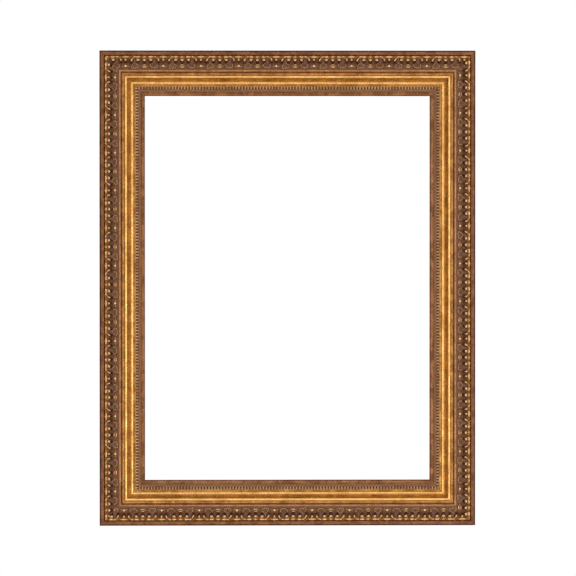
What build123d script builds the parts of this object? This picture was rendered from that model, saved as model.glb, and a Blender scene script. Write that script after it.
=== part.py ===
from build123d import *
import os
from itertools import accumulate
from math import asin, ceil, cos, hypot, sin

# Ornate gilded picture frame: four mitred, moulded rails with strips of pressed ornament, and the fittings behind.
# Sizes are in millimetres. X runs across the frame, +Z is up and the front faces -Y. The origin is the centre of
# the picture opening, on the ledge that the picture rests against.

# Picture that the frame takes
picture_width = 304.8
picture_height = 406.4
picture_overlap = 6.35  # of the picture's edge, hidden behind the lip
picture_clearance = 1.6  # between the picture's edge and the rabbet wall
rabbet_depth = 11.0

# Widths of the moulding's bands, from the outer edge to the sight edge
outer_round_width = 1.3
outer_fillet_width = 2.9
outer_groove_width = 1.1
leaf_seat_width = 14.4
thin_bead_width = 2.0
middle_groove_width = 1.4
copper_fillet_width = 2.0
ridge_groove_width = 0.6
ridge_width = 2.5
scoop_width = 3.7
bead_width = 2.5
bead_groove_width = 1.2
inner_fillet_width = 1.2
tongue_seat_width = 5.3
sight_groove_width = 1.0
sight_fillet_width = 3.4

# Heights of the bands, as steps from one to the next, from the sight edge outwards
lip_thickness = 4.0
sight_round = 1.0
tongue_seat_drop = 0.7
tongue_seat_rise = 1.6
inner_fillet_rise = 1.8
bead_rise = 0.4
scoop_rise = 4.2
scoop_hollow = 0.9
copper_fillet_drop = 0.5
leaf_seat_drop = 1.4
outer_fillet_rise = 1.6
groove_depth = 0.8
bead_roundness = 0.45  # height of a bead as a share of its own width

# Leaf ornament
ornament_fit = 0.1  # between a strip's side and the wall of its seat
leaf_repeat = 38.55
leaf_tips_in_repeat = 6
leaf_ground = 1.1
leaf_edge_height = 2.6
leaf_shoulder_height = 4.4
leaf_shoulder_inset = 1.4
leaf_crest_height = 5.0
leaf_crest_inset = 2.4
leaf_tip_height = 3.8
leaf_tip_inset = 6.3
leaf_tip_width = 2.2
leaf_notch_inset = 3.0
pearl_inset = 10.6
pearl_radius = 1.3
pearl_height = 1.2
pearl_sides = 6
leaf_start = {"top": 11.7, "right": -13.2, "bottom": -13.6, "left": 15.3}  # where the pattern starts on each rail

# Tongue ornament
tongue_pitch = 3.1
tongue_ground = 0.8
tongue_relief = 0.9
tongue_groove_length = 4.4  # of the groove between two tongues, from its deep end to where it runs out

# V-nails across the mitres
v_nail_leg = 7.0
v_nail_gauge = 0.6
v_nail_lip = 0.8
v_nail_height = 9.0
v_nail_setbacks = (9.0, 23.0)  # of the two nails at a mitre, from the rail's outer edge
kerf_clearance = 0.05

# Turn buttons and their screws
button_station_short = 75.0  # from the middle of the top and bottom rails
button_station_long = 130.0  # from the middle of the side rails
button_inset = 8.0  # of the pivot from the rabbet wall
button_reach = 17.0
button_width = 10.0
button_tip_width = 7.0
button_gauge = 1.0
button_lift = 1.2
button_lift_length = 5.0
button_play = 0.1
button_sides = 16  # of the polygon that stands for each of its round ends
pivot_clearance = 0.08
screw_radius = 1.5
screw_length = 12.0
screw_point = 3.0
screw_point_draft = 22.0
screw_head_radius = 3.1
screw_head_height = 1.6
screw_head_bevel = 0.6
screw_sides = 8  # of the polygons that stand for its round sections and its holes
pilot_clearance = 0.02

# Strap hangers with D-rings
hanger_height = 81.0  # of the ring's pivot above the middle of the frame
hanger_inset = 19.0  # of the strap's middle from the outer edge
strap_width = 12.0
strap_length = 33.0
strap_gauge = 1.0
strap_ramp = 5.5
strap_end_round = 4.5
strap_screw_first = 8.5
strap_screw_pitch = 17.0
ring_wire_radius = 1.3
ring_wire_sides = 8
ring_radius = 11.0
ring_sides = 24  # of the polygons that stand for the ring's round bend and corners
ring_bar_offset = 4.0
ring_corner = 2.5
ring_play = 0.08
ring_rest_gap = 0.3

# Felt bumpers
bumper_radius = 6.35
bumper_sides = 24
bumper_thickness = 3.2
bumper_inset = 19.0

# Band edges, as distances from the outer edge
(
    round_in,
    fillet_in,
    leaf_out,
    leaf_in,
    thin_bead_in,
    copper_out,
    copper_in,
    ridge_out,
    ridge_in,
    bead_out,
    bead_in,
    inner_fillet_out,
    tongue_out,
    tongue_in,
    sight_out,
    rail_width,
) = accumulate(
    (
        outer_round_width,
        outer_fillet_width,
        outer_groove_width,
        leaf_seat_width,
        thin_bead_width,
        middle_groove_width,
        copper_fillet_width,
        ridge_groove_width,
        ridge_width,
        scoop_width,
        bead_width,
        bead_groove_width,
        inner_fillet_width,
        tongue_seat_width,
        sight_groove_width,
        sight_fillet_width,
    )
)
rabbet_edge = rail_width - picture_overlap - picture_clearance

# Band heights above the back of the moulding
sight_height = rabbet_depth + lip_thickness
tongue_low = sight_height - tongue_seat_drop
tongue_high = tongue_low + tongue_seat_rise
inner_fillet_height = tongue_high + inner_fillet_rise
bead_foot = inner_fillet_height + bead_rise
ridge_foot = bead_foot + scoop_rise
copper_height = ridge_foot - copper_fillet_drop
leaf_seat_height = copper_height - leaf_seat_drop
outer_fillet_height = leaf_seat_height + outer_fillet_rise

# Overall size, and each rail as its inward direction, its outer edge's distance from the middle, and its length
outer_width = picture_width - 2 * picture_overlap + 2 * rail_width
outer_height = picture_height - 2 * picture_overlap + 2 * rail_width
front = Vector(0, -1, 0)
rails = {
    "top": (Vector(0, 0, -1), outer_height / 2, outer_width),
    "right": (Vector(-1, 0, 0), outer_width / 2, outer_height),
    "bottom": (Vector(0, 0, 1), outer_height / 2, outer_width),
    "left": (Vector(1, 0, 0), outer_width / 2, outer_height),
}
button_stations = {
    "top": button_station_short,
    "right": button_station_long,
    "bottom": button_station_short,
    "left": button_station_long,
}
button_names = {
    "top": ("turn_button_top_left", "turn_button_top_right"),
    "right": ("turn_button_right_upper", "turn_button_right_lower"),
    "bottom": ("turn_button_bottom_right", "turn_button_bottom_left"),
    "left": ("turn_button_left_lower", "turn_button_left_upper"),
}
strap_thickness = 2 * strap_gauge
loop_inner = ring_wire_radius + ring_play
loop_outer = loop_inner + strap_gauge
strap_screw_drops = (strap_screw_first, strap_screw_first + strap_screw_pitch)

os.makedirs("parts", exist_ok=True)


def finish(piece, name):
    """Label a finished piece and write its file."""
    piece.part.label = name
    export_step(piece.part, f"parts/{name}.step")


def section_plane(side):
    """Section of a rail: x runs inward from the outer edge, y forward from the back, and the normal along it."""
    inward, reach, _ = rails[side]
    origin = Vector(0, rabbet_depth, 0) - inward * reach
    return Plane(origin=origin, x_dir=inward, z_dir=inward.cross(front))


def back_plane(side):
    """Back of a rail: x runs inward from the outer edge, y along the rail, and the normal points backward."""
    section = section_plane(side)
    return Plane(origin=section.origin, x_dir=section.x_dir, z_dir=-front)


def cut_mitres(side):
    """Cut both ends of the piece that is being built on the frame's diagonals."""
    section = section_plane(side)
    length = rails[side][2]
    for along in (section.z_dir, -section.z_dir):
        corner = section.origin + along * (length / 2)
        split(bisect_by=Plane(origin=corner, z_dir=section.x_dir + along), keep=Keep.BOTTOM)


def moulding_outline():
    """Section of the moulding, with its rabbet."""
    groove_floor = copper_height - groove_depth
    bead_groove_floor = inner_fillet_height - groove_depth
    outer_side_top = outer_fillet_height - outer_round_width
    sight_side_top = sight_height - sight_round
    with BuildLine() as outline:
        Polyline(
            (rail_width, sight_side_top),
            (rail_width, rabbet_depth),
            (rabbet_edge, rabbet_depth),
            (rabbet_edge, 0),
            (0, 0),
            (0, outer_side_top),
        )
        RadiusArc((0, outer_side_top), (round_in, outer_fillet_height), outer_round_width)
        Polyline(
            (round_in, outer_fillet_height),
            (fillet_in, outer_fillet_height),
            (fillet_in, leaf_seat_height),
            (leaf_in, leaf_seat_height),
            (leaf_in, copper_height),
        )
        SagittaArc((leaf_in, copper_height), (thin_bead_in, copper_height), bead_roundness * thin_bead_width)
        Polyline(
            (thin_bead_in, copper_height),
            (thin_bead_in, groove_floor),
            (copper_out, groove_floor),
            (copper_out, copper_height),
            (copper_in, copper_height),
            (copper_in, groove_floor),
            (ridge_out, groove_floor),
            (ridge_out, ridge_foot),
        )
        SagittaArc((ridge_out, ridge_foot), (ridge_in, ridge_foot), bead_roundness * ridge_width)
        SagittaArc((ridge_in, ridge_foot), (bead_out, bead_foot), -scoop_hollow)
        SagittaArc((bead_out, bead_foot), (bead_in, bead_foot), bead_roundness * bead_width)
        Polyline(
            (bead_in, bead_foot),
            (bead_in, bead_groove_floor),
            (inner_fillet_out, bead_groove_floor),
            (inner_fillet_out, inner_fillet_height),
            (tongue_out, inner_fillet_height),
            (tongue_out, tongue_high),
            (tongue_in, tongue_low),
            (sight_out, tongue_low),
            (sight_out, sight_height),
            (rail_width - sight_round, sight_height),
        )
        RadiusArc((rail_width - sight_round, sight_height), (rail_width, sight_side_top), sight_round)
    make_face(outline.edges())


def v_nail_outline(side, end, setback, gap):
    """Outline of one V-nail on a rail's back, at one end of the rail, with a gap left round it."""
    length = rails[side][2]
    lip = v_nail_lip + gap
    inside = v_nail_gauge + gap
    tip = v_nail_leg + gap
    lip_side = v_nail_leg - v_nail_gauge - gap
    corners = [
        (-gap, -gap),
        (lip_side, -gap),
        (lip_side, -lip),
        (tip, -lip),
        (tip, inside),
        (inside, inside),
        (inside, tip),
        (-lip, tip),
        (-lip, lip_side),
        (-gap, lip_side),
    ]
    with BuildLine() as outline:
        Polyline([(setback + a, end * (length / 2 - setback - b)) for a, b in corners], close=True)
    make_face(outline.edges())


def button_pivots(side):
    """Where the two turn buttons of a rail pivot, on the rail's back."""
    across = rabbet_edge - button_inset
    return [(across, button_stations[side]), (across, -button_stations[side])]


def strap_screw_places(side):
    """Where the screws of a strap hanger go, on the back of a side rail."""
    up = section_plane(side).z_dir.Z
    return [(hanger_inset, up * (hanger_height - drop)) for drop in strap_screw_drops]


def screw_places(side):
    """Places on a rail's back of every screw that is driven into it."""
    places = button_pivots(side)
    if side in ("left", "right"):
        places = places + strap_screw_places(side)
    return places


def screw_sections(side, height, places, radius):
    """Sections of the screws at the places given, at a height above a rail's back."""
    with BuildSketch(back_plane(side).offset(height)) as sections:
        with Locations(*places):
            RegularPolygon(radius, screw_sides)
    return sections.sketch


def add_screws(side, places, grip):
    """Pan-head wood screws in a rail's back, each with its head a grip's thickness above it."""
    point_start = screw_point - screw_length
    extrude(screw_sections(side, grip, places, screw_head_radius), amount=screw_head_height)
    extrude(screw_sections(side, grip, places, screw_radius), amount=point_start - grip)
    extrude(
        screw_sections(side, point_start, places, screw_radius),
        amount=-screw_point,
        taper=screw_point_draft,
    )


# Rails
for side, (_, _, length) in rails.items():
    with BuildPart() as rail:
        with BuildSketch(section_plane(side)):
            moulding_outline()
        extrude(amount=length / 2, both=True)
        cut_mitres(side)
        for setback in v_nail_setbacks:
            with BuildSketch(back_plane(side)):
                v_nail_outline(side, 1, setback, kerf_clearance)
                v_nail_outline(side, -1, setback, kerf_clearance)
            extrude(amount=-v_nail_height - kerf_clearance, mode=Mode.SUBTRACT)
        extrude(
            screw_sections(side, 0, screw_places(side), screw_radius + pilot_clearance),
            amount=-screw_length - pilot_clearance,
            mode=Mode.SUBTRACT,
        )
    finish(rail, f"rail_{side}")

# Leaf ornament: a row of leaf tips behind the outer groove, and pearls on the plain ground beside it
tip_pitch = leaf_repeat / leaf_tips_in_repeat
strip_out = leaf_out + ornament_fit
strip_in = leaf_in - ornament_fit
tip_end = strip_out + leaf_tip_inset
notch_end = strip_out + leaf_notch_inset
for side, (_, _, length) in rails.items():
    section = section_plane(side)
    seat = Plane(origin=section.origin + front * leaf_seat_height, x_dir=section.z_dir, z_dir=front)
    tips_each_way = leaf_tips_in_repeat * (ceil(length / 2 / leaf_repeat) + 1)
    tips = [leaf_start[side] + tip_pitch * index for index in range(-tips_each_way, tips_each_way + 1)]
    row_start = tips[0] - tip_pitch / 2
    row_end = tips[-1] + tip_pitch / 2
    row = [(row_end, notch_end), (row_end, strip_out), (row_start, strip_out)]
    for tip in tips:
        row.append((tip - tip_pitch / 2, notch_end))
        row.append((tip - leaf_tip_width / 2, tip_end))
        row.append((tip + leaf_tip_width / 2, tip_end))
    pearls = [(tip, strip_out + pearl_inset) for tip in tips[::leaf_tips_in_repeat]]
    with BuildPart() as leaf_band:
        with BuildSketch(seat):
            with BuildLine():
                Polyline(row, close=True)
            make_face()
        extrude(amount=leaf_crest_height)
        with BuildSketch(seat):
            with Locations((0, strip_out)):
                Rectangle(length, strip_in - strip_out, align=(Align.CENTER, Align.MIN))
        extrude(amount=leaf_ground)
        with BuildSketch(seat.offset(leaf_ground)):
            with Locations(*pearls):
                RegularPolygon(pearl_radius, pearl_sides)
        extrude(amount=pearl_height)
        with BuildSketch(section):
            with BuildLine():
                Polyline(
                    (strip_out, leaf_seat_height),
                    (strip_out, leaf_seat_height + leaf_edge_height),
                    (strip_out + leaf_shoulder_inset, leaf_seat_height + leaf_shoulder_height),
                    (strip_out + leaf_crest_inset, leaf_seat_height + leaf_crest_height),
                    (strip_out + leaf_tip_inset, leaf_seat_height + leaf_tip_height),
                    (strip_in, leaf_seat_height + leaf_ground + pearl_height),
                    (strip_in, leaf_seat_height),
                    close=True,
                )
            make_face()
        extrude(amount=length / 2, both=True, mode=Mode.INTERSECT)
        cut_mitres(side)
    finish(leaf_band, f"leaf_band_{side}")

# Tongue ornament: a strip on the sloping seat beside the sight edge, with a groove between each two tongues
seat_slope_length = hypot(tongue_seat_width, tongue_seat_rise)
for side, (inward, _, length) in rails.items():
    section = section_plane(side)
    downhill = (inward * tongue_seat_width - front * tongue_seat_rise).normalized()
    start = section.origin + inward * tongue_out + front * tongue_high + downhill * ornament_fit
    tongues_each_way = ceil((length / 2 - tongue_out) / tongue_pitch) + 1
    crest = tongue_ground + tongue_relief
    flutes = [(tongue_pitch * -tongues_each_way, 0), (tongue_pitch * -tongues_each_way, tongue_ground)]
    for index in range(-tongues_each_way, tongues_each_way):
        flutes.append((tongue_pitch * (index + 0.5), crest))
        flutes.append((tongue_pitch * (index + 1), tongue_ground))
    flutes.append((tongue_pitch * tongues_each_way, 0))
    flute_plane = Plane(origin=start, x_dir=-section.z_dir, z_dir=downhill)
    face_normal = flute_plane.y_dir * tongue_groove_length + downhill * tongue_relief
    with BuildPart() as tongue_band:
        with BuildSketch(flute_plane):
            with BuildLine():
                Polyline(flutes, close=True)
            make_face()
        extrude(amount=seat_slope_length - 2 * ornament_fit)
        split(bisect_by=Plane(origin=start + flute_plane.y_dir * crest, z_dir=face_normal), keep=Keep.BOTTOM)
        cut_mitres(side)
    finish(tongue_band, f"tongue_band_{side}")

# V-nails, two across each mitre
mitre_ends = {
    "top_left": ("top", 1),
    "top_right": ("top", -1),
    "bottom_right": ("bottom", 1),
    "bottom_left": ("bottom", -1),
}
for corner_name, (side, end) in mitre_ends.items():
    with BuildPart() as v_nails:
        for setback in v_nail_setbacks:
            with BuildSketch(back_plane(side)):
                v_nail_outline(side, end, setback, 0)
            extrude(amount=-v_nail_height)
    finish(v_nails, f"v_nails_{corner_name}")

# Turn buttons, lying along their rails with their tails towards the middle
for side, names in button_names.items():
    section = section_plane(side)
    for name, (across, station) in zip(names, button_pivots(side)):
        tail = -section.z_dir if station > 0 else section.z_dir
        pivot = back_plane(side).from_local_coords(Vector(across, station, button_play))
        flat = Plane(origin=pivot, x_dir=tail, z_dir=-front)
        profile = Plane(origin=pivot, x_dir=tail, z_dir=front.cross(tail))
        button_end = button_reach + button_tip_width / 2
        bend = button_end - button_lift_length
        with BuildPart() as button:
            with BuildSketch(flat):
                RegularPolygon(button_width / 2, button_sides)
                with Locations((button_reach, 0)):
                    RegularPolygon(button_tip_width / 2, button_sides)
                make_hull()
            extrude(amount=button_gauge + button_lift)
            with BuildSketch(profile):
                with BuildLine():
                    Polyline(
                        (-button_width, 0),
                        (bend, 0),
                        (button_end, button_lift),
                        (button_end, button_lift + button_gauge),
                        (bend, button_gauge),
                        (-button_width, button_gauge),
                        close=True,
                    )
                make_face()
            extrude(amount=button_width, both=True, mode=Mode.INTERSECT)
            with BuildSketch(flat):
                RegularPolygon(screw_radius + pivot_clearance, screw_sides, major_radius=False)
            extrude(amount=button_gauge, mode=Mode.SUBTRACT)
        finish(button, name)

button_grip = button_gauge + 2 * button_play
with BuildPart() as turn_button_screws:
    for side in rails:
        add_screws(side, button_pivots(side), button_grip)
    chamfer(edges().group_by(Axis.Y)[-1], screw_head_bevel)
finish(turn_button_screws, "turn_button_screws")

# Strap hangers on the side rails, with a D-ring in the fold of each
ring_fall = ring_radius + ring_bar_offset
ring_tilt = asin((strap_thickness + ring_wire_radius + ring_rest_gap - loop_outer) / ring_fall)
for side in ("left", "right"):
    pivot_along = section_plane(side).z_dir.Z * hanger_height
    foot = back_plane(side).from_local_coords(Vector(hanger_inset, pivot_along, 0))
    pivot = foot - front * loop_outer
    with BuildPart() as hanger_strap:
        with BuildSketch(Plane(origin=foot, x_dir=-front, z_dir=Vector(1, 0, 0))):
            with Locations((loop_outer, 0)):
                Circle(loop_outer)
            with Locations((0, -strap_ramp)):
                Rectangle(strap_thickness, strap_ramp, align=(Align.MIN, Align.MIN))
            make_hull()
            Rectangle(strap_thickness, strap_length, align=(Align.MIN, Align.MAX))
            with Locations((loop_outer, 0)):
                Circle(loop_inner, mode=Mode.SUBTRACT)
        extrude(amount=strap_width / 2, both=True)
        fillet(edges().filter_by(Axis.Y).group_by(Axis.Z)[0], strap_end_round)
        extrude(
            screw_sections(side, 0, strap_screw_places(side), screw_radius + pilot_clearance),
            amount=strap_thickness,
            mode=Mode.SUBTRACT,
        )
    finish(hanger_strap, f"hanger_strap_{side}")

    with BuildSketch(Plane(origin=pivot, x_dir=(1, 0, 0), z_dir=(0, cos(ring_tilt), sin(ring_tilt)))) as ring_shape:
        with Locations((0, ring_bar_offset)):
            RegularPolygon(ring_radius, ring_sides)
            Rectangle(2 * ring_radius, ring_radius, align=(Align.CENTER, Align.MIN), mode=Mode.INTERSECT)
        with Locations((ring_radius - ring_corner, ring_corner), (ring_corner - ring_radius, ring_corner)):
            RegularPolygon(ring_corner, ring_sides)
        make_hull()
    ring_path = ring_shape.sketch.face().outer_wire()
    with BuildPart() as hanger_ring:
        with BuildSketch(Plane(origin=ring_path @ 0, z_dir=ring_path % 0)):
            RegularPolygon(ring_wire_radius, ring_wire_sides)
        sweep(path=ring_path, transition=Transition.RIGHT)
    finish(hanger_ring, f"hanger_ring_{side}")

with BuildPart() as hanger_screws:
    for side in ("left", "right"):
        add_screws(side, strap_screw_places(side), strap_thickness)
    chamfer(edges().group_by(Axis.Y)[-1], screw_head_bevel)
finish(hanger_screws, "hanger_screws")

# Felt bumpers at the lower corners of the back
for hand, end in (("left", -1), ("right", 1)):
    with BuildPart() as wall_bumper:
        with BuildSketch(back_plane("bottom")):
            with Locations((bumper_inset, end * (outer_width / 2 - bumper_inset))):
                RegularPolygon(bumper_radius, bumper_sides)
        extrude(amount=bumper_thickness)
    finish(wall_bumper, f"wall_bumper_{hand}")
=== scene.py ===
import math

import bmesh
import bpy
import numpy as np
from bmesh.types import BMEdge, BMFace, BMVert
from mathutils import Matrix, Vector


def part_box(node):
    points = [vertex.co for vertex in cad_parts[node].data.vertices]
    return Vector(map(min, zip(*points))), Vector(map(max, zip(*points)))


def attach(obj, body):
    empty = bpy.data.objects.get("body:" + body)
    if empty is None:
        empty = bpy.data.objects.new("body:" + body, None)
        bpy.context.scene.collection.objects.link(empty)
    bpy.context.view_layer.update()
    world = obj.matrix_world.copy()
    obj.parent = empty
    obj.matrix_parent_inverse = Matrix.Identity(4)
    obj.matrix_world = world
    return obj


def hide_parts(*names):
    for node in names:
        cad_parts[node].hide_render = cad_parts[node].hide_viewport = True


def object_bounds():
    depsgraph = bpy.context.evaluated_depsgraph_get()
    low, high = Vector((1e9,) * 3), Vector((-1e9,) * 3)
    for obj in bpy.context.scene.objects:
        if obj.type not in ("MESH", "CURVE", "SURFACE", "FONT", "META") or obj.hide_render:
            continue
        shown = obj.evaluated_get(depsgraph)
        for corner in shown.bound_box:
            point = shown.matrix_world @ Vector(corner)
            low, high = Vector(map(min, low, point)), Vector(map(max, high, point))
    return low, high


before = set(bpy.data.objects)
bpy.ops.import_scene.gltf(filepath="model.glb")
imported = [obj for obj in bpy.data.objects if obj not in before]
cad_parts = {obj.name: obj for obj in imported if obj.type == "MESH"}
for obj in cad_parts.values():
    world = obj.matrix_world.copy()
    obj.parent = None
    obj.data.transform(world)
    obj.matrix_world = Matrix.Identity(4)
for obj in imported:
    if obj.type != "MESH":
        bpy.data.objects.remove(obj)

# Looks of the gilded picture frame: toned and gilded mouldings, pressed ornament and the fittings on
# the back. Lengths are in metres. Each rail is modelled lying flat, with x along it, y inward from its
# outer edge and z forward from its back, and is then turned into its place.

MM = 0.001
CAD_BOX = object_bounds()

# Overall sizes, from the frame
HALF_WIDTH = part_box("rail_top")[1].x
HALF_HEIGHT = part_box("rail_left")[1].z
BACK_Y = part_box("rail_top")[1].y
SIDES = ("top", "right", "bottom", "left")
INWARD = {"top": (0, 0, -1), "right": (-1, 0, 0), "bottom": (0, 0, 1), "left": (1, 0, 0)}
FRONT = Vector((0, -1, 0))

# Edges of the moulding's bands, from the outer edge inward
ROUND_IN = 1.3 * MM
FILLET_IN = 4.5 * MM
LEAF_OUT = 5.3 * MM
LEAF_IN = 19.7 * MM
THIN_BEAD_IN = 21.7 * MM
COPPER_OUT = 23.1 * MM
COPPER_IN = 25.1 * MM
RIDGE_OUT = 25.7 * MM
RIDGE_IN = 28.2 * MM
BEAD_OUT = 31.9 * MM
BEAD_IN = 34.4 * MM
INNER_FILLET_OUT = 35.6 * MM
TONGUE_OUT = 36.8 * MM
TONGUE_IN = 42.1 * MM
SIGHT_OUT = 43.1 * MM
RAIL_WIDTH = 46.5 * MM
RABBET_EDGE = 38.55 * MM

# Heights of the bands above the back
RABBET_DEPTH = 11.0 * MM
SIGHT_HEIGHT = 15.0 * MM
SIGHT_ROUND = 1.0 * MM
TONGUE_LOW = 14.3 * MM
TONGUE_HIGH = 15.9 * MM
BEAD_GROOVE = 16.9 * MM
INNER_FILLET_HEIGHT = 17.7 * MM
BEAD_FOOT = 18.2 * MM
RIDGE_FOOT = 22.3 * MM
MIDDLE_GROOVE = 21.0 * MM
COPPER_HEIGHT = 21.8 * MM
LEAF_SEAT = 20.4 * MM
OUTER_FILLET_HEIGHT = 22.0 * MM
BEAD_CROWN = 0.45
SCOOP_LOW = 30.4 * MM
SCOOP_FLOOR = 17.7 * MM
SCOOP_HOLLOW = 0.65 * MM
SCOOP_TURN = 0.2 * MM
ARRIS_ROUND = 0.22 * MM

# Leaf ornament
LEAF_REPEAT = 38.55 * MM
LEAF_START = {"top": 11.7 * MM, "right": -13.2 * MM, "bottom": -13.6 * MM, "left": 15.3 * MM}
STRIP_GAP = 0.05 * MM

# Tongue ornament
TONGUE_PITCH = 3.1 * MM
TONGUE_GROUND = 0.55 * MM


def srgb(red, green, blue):
    """Linear colour of an 8-bit display colour."""
    def straighten(value):
        share = value / 255
        return share / 12.92 if share <= 0.04045 else ((share + 0.055) / 1.055) ** 2.4
    return (straighten(red), straighten(green), straighten(blue), 1.0)


# Node helpers

def add_node(tree, kind, inputs=(), **settings):
    """Add a node with its settings, and set or link its inputs by name or number."""
    node = tree.nodes.new(kind)
    for name, value in settings.items():
        setattr(node, name, value)
    for name, value in dict(inputs).items():
        if isinstance(value, bpy.types.NodeSocket):
            tree.links.new(value, node.inputs[name])
        else:
            node.inputs[name].default_value = value
    return node


def mix_colour(tree, share, first, second):
    """Colour between two, by a share from 0 to 1."""
    return add_node(tree, "ShaderNodeMix", {0: share, 6: first, 7: second}, data_type="RGBA").outputs[2]


def sums(tree, operation, first, second, clamp=False):
    """Result of one sum on two values."""
    node = add_node(tree, "ShaderNodeMath", {0: first, 1: second}, operation=operation, use_clamp=clamp)
    return node.outputs[0]


def weigh(tree, first, first_share, second, second_share, clamp=False):
    """Two values added by their shares."""
    parts = sums(tree, "MULTIPLY", first, first_share), sums(tree, "MULTIPLY", second, second_share)
    return sums(tree, "ADD", *parts, clamp)


def stretch(tree, value, low, high, to_low=0.0, to_high=1.0):
    """A value's range, smoothly stretched to another."""
    ranges = {"Value": value, "From Min": low, "From Max": high, "To Min": to_low, "To Max": to_high}
    return add_node(tree, "ShaderNodeMapRange", ranges, interpolation_type="SMOOTHSTEP").outputs["Result"]


def noise(tree, vector, scale, detail=3.0, roughness=0.55):
    """Cloudy pattern, with a scale in features a metre."""
    inputs = {"Vector": vector, "Scale": scale, "Detail": detail, "Roughness": roughness}
    return add_node(tree, "ShaderNodeTexNoise", inputs).outputs["Fac"]


def object_place(tree):
    """Place on the object, in metres."""
    return add_node(tree, "ShaderNodeTexCoord").outputs["Object"]


def run_place(tree, along, across):
    """Place on a strip, from its own map, stretched by a scale along it and one across it."""
    place = add_node(tree, "ShaderNodeUVMap", uv_map="run").outputs["UV"]
    inputs = {"Vector": place, "Scale": (along, across, 1.0)}
    return add_node(tree, "ShaderNodeMapping", inputs).outputs["Vector"]


def specks(tree, place, scale, size, share):
    """Scattered round specks: 1 inside a speck and 0 outside."""
    cells = add_node(tree, "ShaderNodeTexVoronoi", {"Vector": place, "Scale": scale})
    near = stretch(tree, cells.outputs["Distance"], size, size * 0.5)
    chosen = add_node(tree, "ShaderNodeSeparateColor", {"Color": cells.outputs["Color"]}).outputs["Red"]
    return sums(tree, "MULTIPLY", near, sums(tree, "LESS_THAN", chosen, share))


def surface(name):
    """A new material with its node tree and its shader."""
    material = bpy.data.materials.new(name)
    material.use_nodes = True
    return material, material.node_tree, material.node_tree.nodes["Principled BSDF"]


def join(tree, shader, **sockets):
    """Link values to the shader's sockets, with underscores for the spaces in their names."""
    for name, value in sockets.items():
        tree.links.new(value, shader.inputs[name.replace("_", " ")])


def bump(tree, height, strength, distance):
    """Normal of a surface with fine relief."""
    node = add_node(tree, "ShaderNodeBump", {"Height": height, "Strength": strength, "Distance": distance})
    return node.outputs["Normal"]


# Finishes

GLAZE_SHINE = 0.04  # the toning glaze is dull, so it mirrors less than a varnish would
SPECK_BROWN = srgb(62, 36, 20)
# What each point of an ornament strip carries for its finish
STRIP_VALUES = ("gilt", "worn", "dust", "umber_and_painted_shade")


def toned_gilding(name, leaf, glaze, bright, metallic, roughness, glaze_share):
    """Leaf metal under a toning glaze that lies in clouds and streaks, with rubbed places and specks."""
    material, tree, shader = surface(name)
    place = object_place(tree)
    clouds = stretch(tree, noise(tree, place, 90, 6, 0.66), 0.4, 0.62)
    streaks = stretch(tree, noise(tree, run_place(tree, 70, 900), 1.0, 5, 0.62), 0.38, 0.62)
    rubbed = stretch(tree, noise(tree, place, 260, 4, 0.6), 0.54, 0.7, 0.0, 0.6)
    fine = noise(tree, place, 2600, 2)
    dark_spots = sums(tree, "MULTIPLY", specks(tree, place, 420, 0.12, 0.22), 0.7)
    glazed = weigh(tree, clouds, glaze_share * 0.8, streaks, glaze_share * 0.7, True)
    colour = mix_colour(tree, glazed, leaf, glaze)
    colour = mix_colour(tree, rubbed, colour, bright)
    colour = mix_colour(tree, dark_spots, colour, SPECK_BROWN)
    polish = stretch(tree, clouds, 0.0, 1.0, roughness - 0.05, roughness + 0.1)
    relief = weigh(tree, streaks, 0.6, fine, 0.4)
    shader.inputs["Metallic"].default_value = metallic
    shader.inputs["Specular IOR Level"].default_value = GLAZE_SHINE
    join(tree, shader, Base_Color=colour, Roughness=polish, Normal=bump(tree, relief, 0.25, 0.00012))
    return material


def bare_wood(name, light, dark):
    """Planed softwood with its grain along the rail."""
    material, tree, shader = surface(name)
    grain = noise(tree, run_place(tree, 9, 420), 1.0, 6, 0.62)
    pores = noise(tree, run_place(tree, 55, 2600), 1.0, 3)
    tone = weigh(tree, grain, 0.7, noise(tree, object_place(tree), 18, 3), 0.35)
    colour = mix_colour(tree, stretch(tree, tone, 0.36, 0.68), dark, light)
    colour = mix_colour(tree, stretch(tree, pores, 0.62, 0.74, 0.0, 0.35), colour, dark)
    shader.inputs["Roughness"].default_value = 0.72
    join(tree, shader, Base_Color=colour, Normal=bump(tree, grain, 0.2, 0.0002))
    return material


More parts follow.
